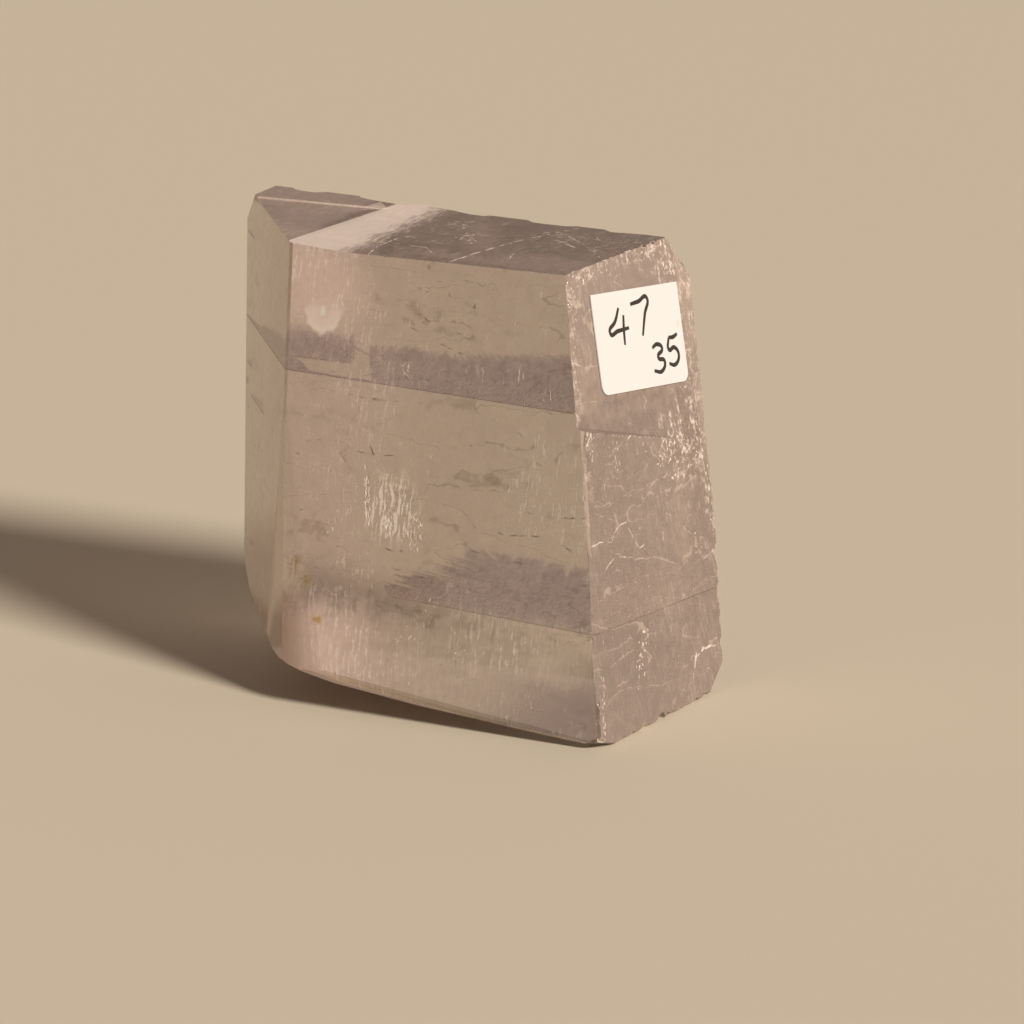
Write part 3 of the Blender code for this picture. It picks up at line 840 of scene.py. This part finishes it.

# The colour of the frost: grey brown, pinker on the left, whiter where the stone is freshly broken. The
# white on the ramp is a painted reflection, and the white of the flash, its rim and its hot point is a
# painted highlight
PINK = (0.93, 0.71, 0.63, 1.0)
GREY_BROWN = (0.82, 0.68, 0.56, 1.0)
WHITE = (0.99, 0.87, 0.78, 1.0)
CRACK_HAZE = (0.95, 0.66, 0.54, 1.0)
OCHRE = (0.50, 0.32, 0.12, 1.0)
ORANGE = (0.66, 0.42, 0.20, 1.0)
HIGHLIGHT_WHITE = (1.0, 0.92, 0.85, 1.0)
FROST_ROUGHNESS = 0.5
pinkness = calcite.soft(across, 12.0, -10.0).most(base_pink)
whiteness = (painted_ramp_reflection * 0.6).most(bruise).most(rim).most(flash_highlight * 0.5).most(fresh).most(wisps * 0.7)
whiteness = whiteness.most(column).least(1.0)
frost_colour = calcite.tint(in_crack, calcite.tint(pinkness, GREY_BROWN, PINK), CRACK_HAZE)
for amount, colour in ((whiteness, WHITE), (ochre, OCHRE), (orange, ORANGE), (hot_highlight, HIGHLIGHT_WHITE)):
    frost_colour = calcite.tint(amount, frost_colour, colour)
frost = calcite.node("BsdfPrincipled", {"distribution": "GGX"}, {
    "Base Color": frost_colour, "Roughness": FROST_ROUGHNESS, "Specular IOR Level": 0.0})

# The clear stone: rippled a little, darkened by the hair lines and the speck, and brown in the depth
CLEAR = (0.97, 0.93, 0.93, 1.0)
SPECK = (0.15, 0.12, 0.12, 1.0)
HAIR_SHADE = (0.42, 0.36, 0.32, 1.0)
DEPTH_COLOUR = (0.70, 0.63, 0.59, 1.0)
DEPTH_DENSITY = 32.0
CRYSTAL_IOR = 1.6
CLEAR_ROUGHNESS = 0.13
RIPPLE_STRENGTH = 0.5
RIPPLE_DEPTH = 0.1 * MM
clear_colour = calcite.tint(dark_speck, CLEAR, SPECK)
clear_colour = calcite.tint(hair * 0.8, clear_colour, HAIR_SHADE)
ripples = calcite.node("Bump", None, {
    "Strength": RIPPLE_STRENGTH, "Distance": RIPPLE_DEPTH, "Height": blotch * 0.15})
clear = calcite.node("BsdfPrincipled", {"distribution": "GGX"}, {
    "Base Color": clear_colour, "Roughness": CLEAR_ROUGHNESS, "IOR": CRYSTAL_IOR,
    "Transmission Weight": 1.0, "Normal": ripples})
surface = calcite.node("MixShader", None, {0: frosted, 1: clear, 2: frost})
volume = calcite.node("VolumeAbsorption", None, {"Color": DEPTH_COLOUR, "Density": DEPTH_DENSITY})
calcite.node("OutputMaterial", None, {"Surface": surface, "Volume": volume})
calcite.put_on(block)
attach(block, "root")
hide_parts("crystal")


# The paper label: a small off-white sticker with square top corners and rounded bottom ones, stuck
# near the top of the right face. Its solid stands clear of the stone's, so the sticker is moved in.
LABEL_DROP = 0.22 * MM
CLEAN_PAPER = ((0.91, 0.89, 0.87, 1.0), (0.96, 0.94, 0.94, 1.0))
STAINED_PAPER = (0.80, 0.74, 0.66, 1.0)
STAIN_FADE = (0.62, 0.72)
STAIN_SHARE = 0.5
FIBRE_SCALE = 1400.0
STAIN_SCALE = 160.0
FIBRE_DEPTH = 0.03 * MM
PAPER_ROUGHNESS = 0.75
cad_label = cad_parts["label"]
sticker = bpy.data.objects.new("paper_label", cad_label.data.copy())
bpy.context.scene.collection.objects.link(sticker)
in_edit(sticker, lambda: bpy.ops.mesh.remove_doubles(threshold=WELD))
sticker.data.transform(Matrix.Translation(faces["upper_right"][1] * -LABEL_DROP))
paper = Finish(bpy.data.materials.new("label_paper"))
spread = paper.node("TexCoord", output="Object")
fibre = paper.node("TexNoise", None, {
    "Vector": spread, "Scale": FIBRE_SCALE, "Detail": 4.0, "Roughness": 0.7})
stain = paper.node("TexNoise", None, {
    "Vector": spread, "Scale": STAIN_SCALE, "Detail": 3.0, "Roughness": 0.6})
paper_colour = paper.tint(fibre, *CLEAN_PAPER)
paper_colour = paper.tint(paper.soft(stain, *STAIN_FADE) * STAIN_SHARE, paper_colour, STAINED_PAPER)
paper_relief = paper.node("Bump", None, {
    "Strength": 0.3, "Distance": FIBRE_DEPTH, "Height": fibre + stain * 2.0})
paper_face = paper.node("BsdfPrincipled", None, {
    "Base Color": paper_colour, "Roughness": PAPER_ROUGHNESS, "Normal": paper_relief})
paper.node("OutputMaterial", None, {"Surface": paper_face})
paper.put_on(sticker)
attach(sticker, "root")
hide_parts("label")


# The two numbers on the label: ink, written by hand with a felt pen, that lies flat on the paper. A
# digit is given by where it starts from the label's top left corner and its size, in mm, and a stroke
# by its points as shares of that size.
PEN_WIDTH = 0.58 * MM
INK_THICKNESS = 0.02 * MM
PEN_DOWN, PEN_UP = 0.8, 0.75
FOUR, SEVEN = (3.3, 2.2, 4.9, 4.6), (9.2, 1.5, 4.4, 4.8)
THREE, FIVE = (13.0, 7.7, 3.2, 3.6), (16.8, 7.0, 3.1, 3.7)
STROKES = [
    (FOUR, [(0.60, 0.0), (0.36, 0.36), (0.04, 0.66), (0.45, 0.64), (1.0, 0.60)]),
    (FOUR, [(0.80, 0.22), (0.74, 0.60), (0.70, 1.06)]),
    (SEVEN, [(0.0, 0.10), (0.45, 0.06), (0.96, 0.0), (0.74, 0.42), (0.48, 1.0)]),
    (THREE, [(0.06, 0.10), (0.48, 0.0), (0.80, 0.18), (0.42, 0.46), (0.88, 0.66), (0.62, 0.98),
             (0.0, 0.94)]),
    (FIVE, [(0.22, 0.02), (0.12, 0.44), (0.58, 0.40), (0.86, 0.68), (0.52, 1.0), (0.02, 0.94)]),
    (FIVE, [(0.22, 0.02), (0.56, 0.03), (0.92, -0.06)]),
]
bpy.ops.object.select_all(action="DESELECT")
pen = bpy.data.curves.new("label_numbers", "CURVE")
pen.dimensions = "3D"
pen.resolution_u = 8
pen.bevel_depth = PEN_WIDTH * 0.5
pen.bevel_resolution = 3
pen.use_fill_caps = True
for (left, down, wide, high), points in STROKES:
    stroke = pen.splines.new("BEZIER")
    stroke.bezier_points.add(len(points) - 1)
    for knot, (s, t) in zip(stroke.bezier_points, points):
        knot.co = ((left + s * wide) * MM, -(down + t * high) * MM, 0.0)
        knot.handle_left_type = knot.handle_right_type = "AUTO"
        knot.radius = 1.0
    stroke.bezier_points[0].radius = PEN_DOWN
    stroke.bezier_points[-1].radius = PEN_UP
ink = bpy.data.objects.new("label_numbers", pen)
bpy.context.scene.collection.objects.link(ink)
only(ink)
bpy.ops.object.convert(target="MESH")
ink.data.transform(Matrix.Diagonal((1.0, 1.0, INK_THICKNESS / PEN_WIDTH, 1.0)))

# The strokes are seated on the label's outer face, square to its top edge, which slopes a little
TOP_LEFT, TOP_RIGHT = (-1.61, 54.87), (19.53, 52.42)
SAME_DEPTH = 0.02 * MM
out = faces["upper_right"][1]
side = UP.cross(out).normalized()
corners = [vertex.co.copy() for vertex in sticker.data.vertices]
outermost = max(corner.dot(out) for corner in corners)
outer = [corner for corner in corners if corner.dot(out) > outermost - SAME_DEPTH]


def label_corner(u, v):
    """The corner of the label's outer face that is nearest to a place on the stone's face, in mm."""
    return min(outer, key=lambda corner: math.hypot(corner.dot(side) / MM - u, corner.z / MM - v))


start = label_corner(*TOP_LEFT)
right_way = (label_corner(*TOP_RIGHT) - start).normalized()
up_way = out.cross(right_way).normalized()
seat = Matrix((right_way, up_way, out)).transposed().to_4x4()
ink.data.transform(Matrix.Translation(start + out * INK_THICKNESS * 0.5) @ seat)
BLACK_INK = ((0.020, 0.016, 0.014, 1.0), (0.075, 0.060, 0.050, 1.0))
INK_SCALE = 3000.0
INK_ROUGHNESS = 0.55
felt = Finish(bpy.data.materials.new("pen_ink"))
blot = felt.node("TexNoise", None, {
    "Vector": felt.node("TexCoord", output="Object"), "Scale": INK_SCALE, "Detail": 3.0})
ink_face = felt.node("BsdfPrincipled", None, {
    "Base Color": felt.tint(blot, *BLACK_INK), "Roughness": INK_ROUGHNESS})
felt.node("OutputMaterial", None, {"Surface": ink_face})
felt.put_on(ink)
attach(ink, "root")


# The studio: a wide pale floor just under the stone, painted matt and lit by one soft sun from the
# right and slightly in front
FLOOR_SIZE = 6.0
FLOOR_DROP = 0.08 * MM
FLOOR_COLOUR = (0.82, 0.72, 0.57, 1.0)
FLOOR_ROUGHNESS = 0.9
SUN_AZIMUTH = 72.0
SUN_ELEVATION = 36.0
SUN_STRENGTH = 2.8
SUN_SPREAD = 14.0
SUN_COLOUR = (1.0, 0.93, 0.84)
bpy.ops.object.select_all(action="DESELECT")
bpy.ops.mesh.primitive_plane_add(size=FLOOR_SIZE, location=(0.0, 0.0, -FLOOR_DROP))
floor = bpy.context.active_object
floor.name = "studio_floor"
ground = Finish(bpy.data.materials.new("floor_paint"))
ground_face = ground.node("BsdfPrincipled", None, {
    "Base Color": FLOOR_COLOUR, "Roughness": FLOOR_ROUGHNESS})
ground.node("OutputMaterial", None, {"Surface": ground_face})
ground.put_on(floor)
sun = bpy.data.lights.new("window_sun", "SUN")
sun.energy = SUN_STRENGTH
sun.angle = math.radians(SUN_SPREAD)
sun.color = SUN_COLOUR
sun_object = bpy.data.objects.new("window_sun", sun)
bpy.context.scene.collection.objects.link(sun_object)
sun_object.rotation_euler = (math.radians(90.0 - SUN_ELEVATION), 0.0, math.radians(SUN_AZIMUTH))

# A plain room: dim all round, with a wide soft screen high at the back
ROOM_COLOUR = (1.0, 0.87, 0.76, 1.0)
SCREEN_COLOUR = (1.0, 0.77, 0.63, 1.0)
ROOM_STRENGTH = 0.08
SCREEN_STRENGTH = 0.42
SCREEN_FOOT, SCREEN_HEAD, SCREEN_SIDES = (0.24, 0.60), (0.98, 0.74), (-0.1, 0.5)
world = bpy.data.worlds.new("studio")
studio = Finish(world)
_, back_way, high_way = studio.split(studio.node("TexCoord", output="Generated"))
screen = studio.soft(high_way, *SCREEN_FOOT) * studio.soft(high_way, *SCREEN_HEAD)
screen = screen * studio.soft(back_way, *SCREEN_SIDES)
glow = studio.node("Background", None, {
    "Color": studio.tint(screen, ROOM_COLOUR, SCREEN_COLOUR),
    "Strength": screen * SCREEN_STRENGTH + ROOM_STRENGTH})
studio.node("OutputWorld", None, {"Surface": glow})
world.cycles.sampling_method = "NONE"
bpy.context.scene.world = world
bpy.context.scene.view_settings.view_transform = "Standard"

# The camera, at the photograph's height, side and distance
CAMERA_AZIMUTH = 24.6
CAMERA_ELEVATION = 15.4
CAMERA_PLACE = (0.3536, -0.7487, 0.2500)
SENSOR_WIDTH = 36.0
LENS = 228.5
NEAREST, FARTHEST = 0.01, 20.0
camera_data = bpy.data.cameras.new("camera")
camera_data.sensor_width = SENSOR_WIDTH
camera_data.lens = LENS
camera_data.clip_start = NEAREST
camera_data.clip_end = FARTHEST
camera = bpy.data.objects.new("camera", camera_data)
bpy.context.scene.collection.objects.link(camera)
camera.location = CAMERA_PLACE
camera.rotation_euler = (math.radians(90.0 - CAMERA_ELEVATION), 0.0, math.radians(CAMERA_AZIMUTH))
bpy.context.scene.camera = camera
